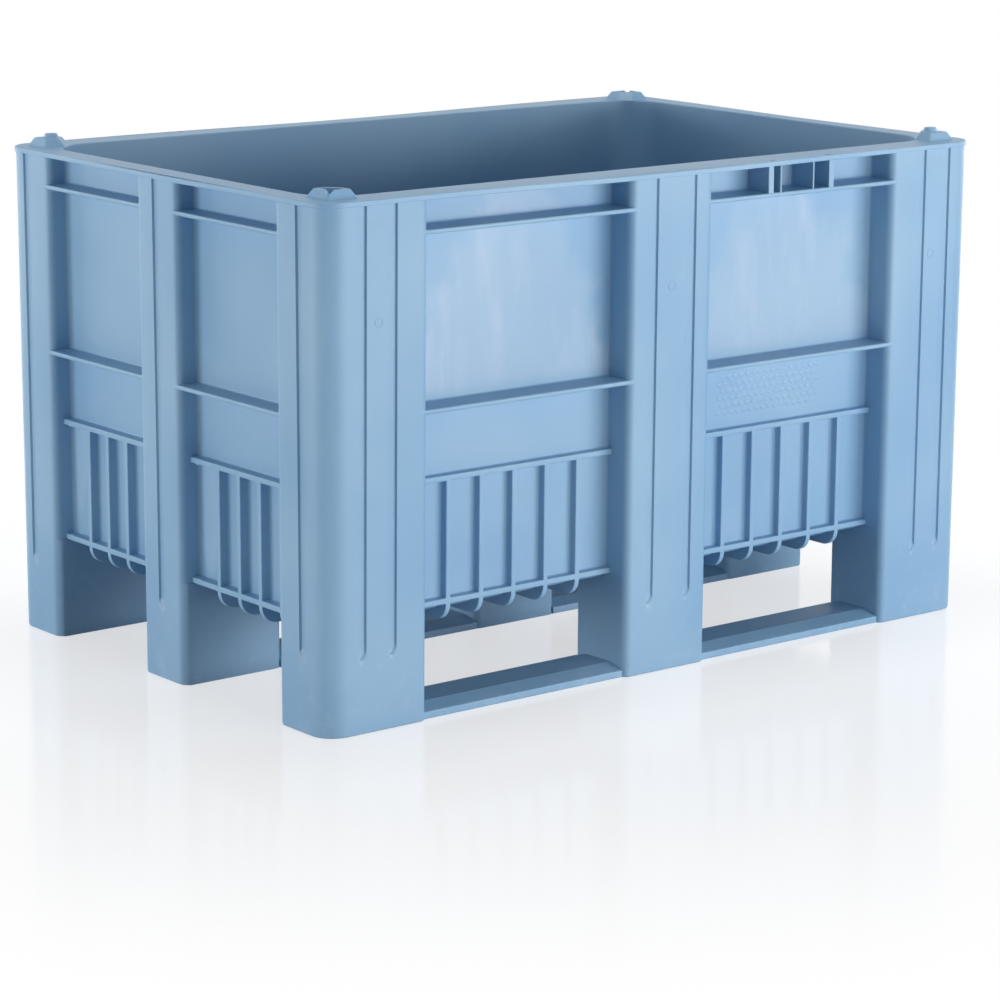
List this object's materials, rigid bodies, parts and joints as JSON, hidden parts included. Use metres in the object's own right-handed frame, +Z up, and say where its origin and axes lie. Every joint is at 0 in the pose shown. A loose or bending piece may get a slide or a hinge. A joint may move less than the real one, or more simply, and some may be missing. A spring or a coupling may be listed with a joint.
{
  "type": "bulk pallet box",
  "caption": "Rigid moulded plastic pallet box: open tub with ribbed walls, hollow posts and legs on skids, and stacking knobs on its rim.",
  "frame": {"origin": "on the floor, under the middle of the box", "axes": "+X along the long side, +Y along the short side, +Z up"},
  "size_m": [1.2, 0.8, 0.7365],
  "materials": {
    "blue_resin": "light grey-blue polyethylene as moulded, fine grain with faint flow marks"
  },
  "bodies": {
    "root": {"pallet_box": "blue_resin"}
  },
  "joints": []
}
